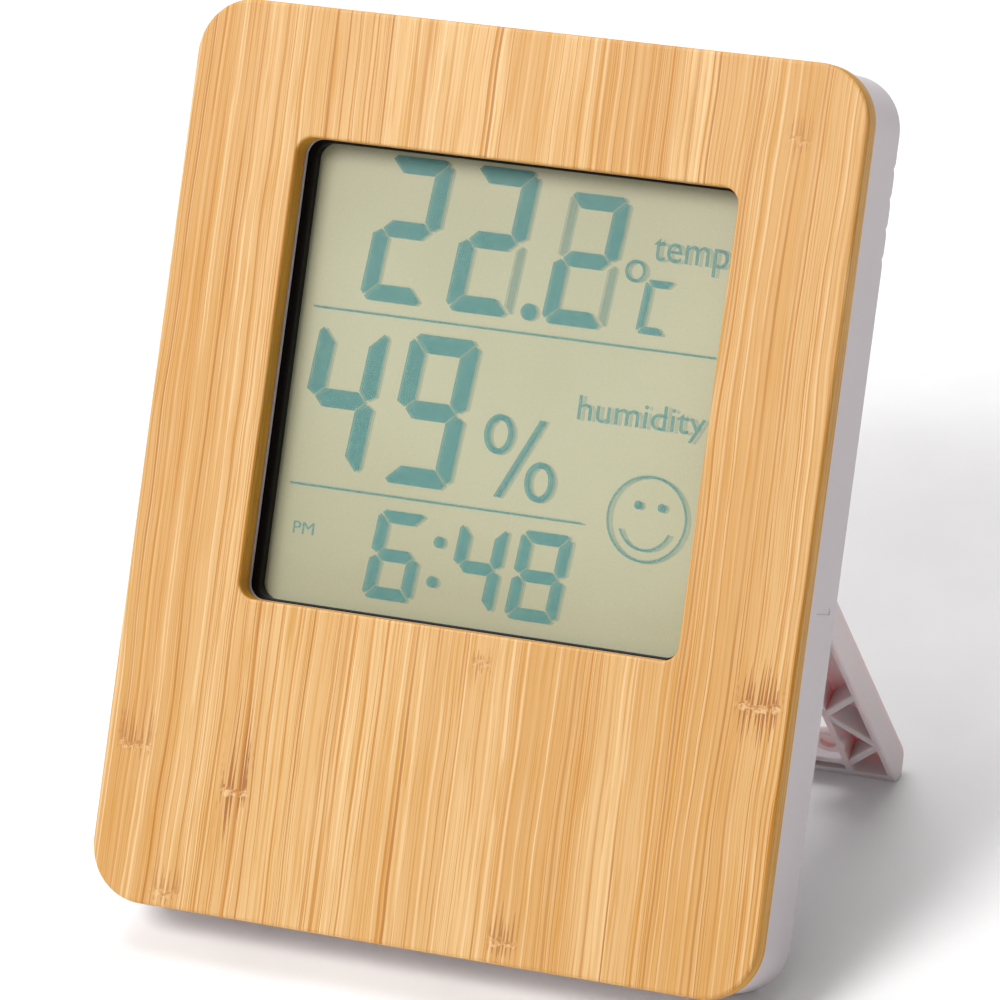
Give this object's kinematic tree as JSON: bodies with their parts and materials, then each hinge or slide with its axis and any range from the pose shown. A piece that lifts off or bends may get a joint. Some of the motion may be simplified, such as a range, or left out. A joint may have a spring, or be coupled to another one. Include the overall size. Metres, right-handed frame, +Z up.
{
  "type": "home weather station",
  "caption": "Slim leaning desk thermometer, hygrometer and clock: bamboo front plate, flat LCD, white plastic case, back buttons, coin-cell door and fold-out stand.",
  "frame": {"origin": "middle of the whole object's box at the surface it stands on, with the stand open", "axes": "+Z up, the display faces -Y and leans back towards +Y, +X is the viewer's right"},
  "size_m": [0.095, 0.0828, 0.1005],
  "materials": {
    "bamboo": "clear satin lacquer over laminated bamboo, fine upright grain",
    "white_plastic": "fine matte moulded ABS, off-white",
    "black_plastic": "black moulded bezel, semi-gloss",
    "display_film": "grey-green polarizer film, satin",
    "display_glass": "thin float glass",
    "tape": "double-sided tape",
    "rubber": "striped conductive rubber",
    "board": "green solder mask over glass fibre",
    "epoxy": "black potting epoxy",
    "steel": "bright nickel-plated steel",
    "spring": "phosphor-bronze spring strip",
    "sensor": "white sensor housing"
  },
  "bodies": {
    "case": {"bamboo_front_plate": "bamboo", "adhesive_sheet": "tape", "front_frame": "white_plastic", "display_bezel": "black_plastic", "lcd_front_polarizer": "display_film", "lcd_front_glass": "display_glass", "lcd_rear_glass": "display_glass", "lcd_reflector": "display_film", "zebra_connector": "rubber", "circuit_board": "board", "controller_chip": "epoxy", "clock_crystal": "steel", "humidity_sensor": "sensor", "thermistor": "epoxy", "buffer_capacitor": "steel", "mode_dome_switch": "spring", "up_dome_switch": "spring", "down_dome_switch": "spring", "unit_dome_switch": "spring", "coin_cell": "steel", "negative_contact": "spring", "positive_contact": "spring", "back_cover": "white_plastic", "case_screw_1": "steel", "board_screw_1": "steel", "case_screw_2": "steel", "board_screw_2": "steel", "case_screw_3": "steel", "board_screw_3": "steel", "case_screw_4": "steel", "board_screw_4": "steel"},
    "stand": {"stand": "white_plastic"},
    "battery_door": {"battery_door": "white_plastic"},
    "mode_button": {"mode_button": "white_plastic"},
    "up_button": {"up_button": "white_plastic"},
    "down_button": {"down_button": "white_plastic"},
    "unit_button": {"unit_button": "white_plastic"}
  },
  "joints": [
    {"name": "stand_hinge", "type": "hinge", "parent": "case", "child": "stand", "pos_m": [0, -0.00171, 0.04327], "axis": [1, 0, 0], "range_deg": [-58.4, 0]},
    {"name": "battery_door_turn", "type": "hinge", "parent": "case", "child": "battery_door", "pos_m": [0.022, 0.01455, 0.05886], "axis": [0, 0.7876, -0.6162], "range_deg": [0, 60]},
    {"name": "mode_button_press", "type": "slide", "parent": "case", "child": "mode_button", "axis": [0, -0.7876, 0.6162], "range_m": [0, 0.0005], "stiffness_N_per_m": 1000},
    {"name": "up_button_press", "type": "slide", "parent": "case", "child": "up_button", "axis": [0, -0.7876, 0.6162], "range_m": [0, 0.0005], "stiffness_N_per_m": 1000},
    {"name": "down_button_press", "type": "slide", "parent": "case", "child": "down_button", "axis": [0, -0.7876, 0.6162], "range_m": [0, 0.0005], "stiffness_N_per_m": 1000},
    {"name": "unit_button_press", "type": "slide", "parent": "case", "child": "unit_button", "axis": [0, -0.7876, 0.6162], "range_m": [0, 0.0005], "stiffness_N_per_m": 1000}
  ]
}
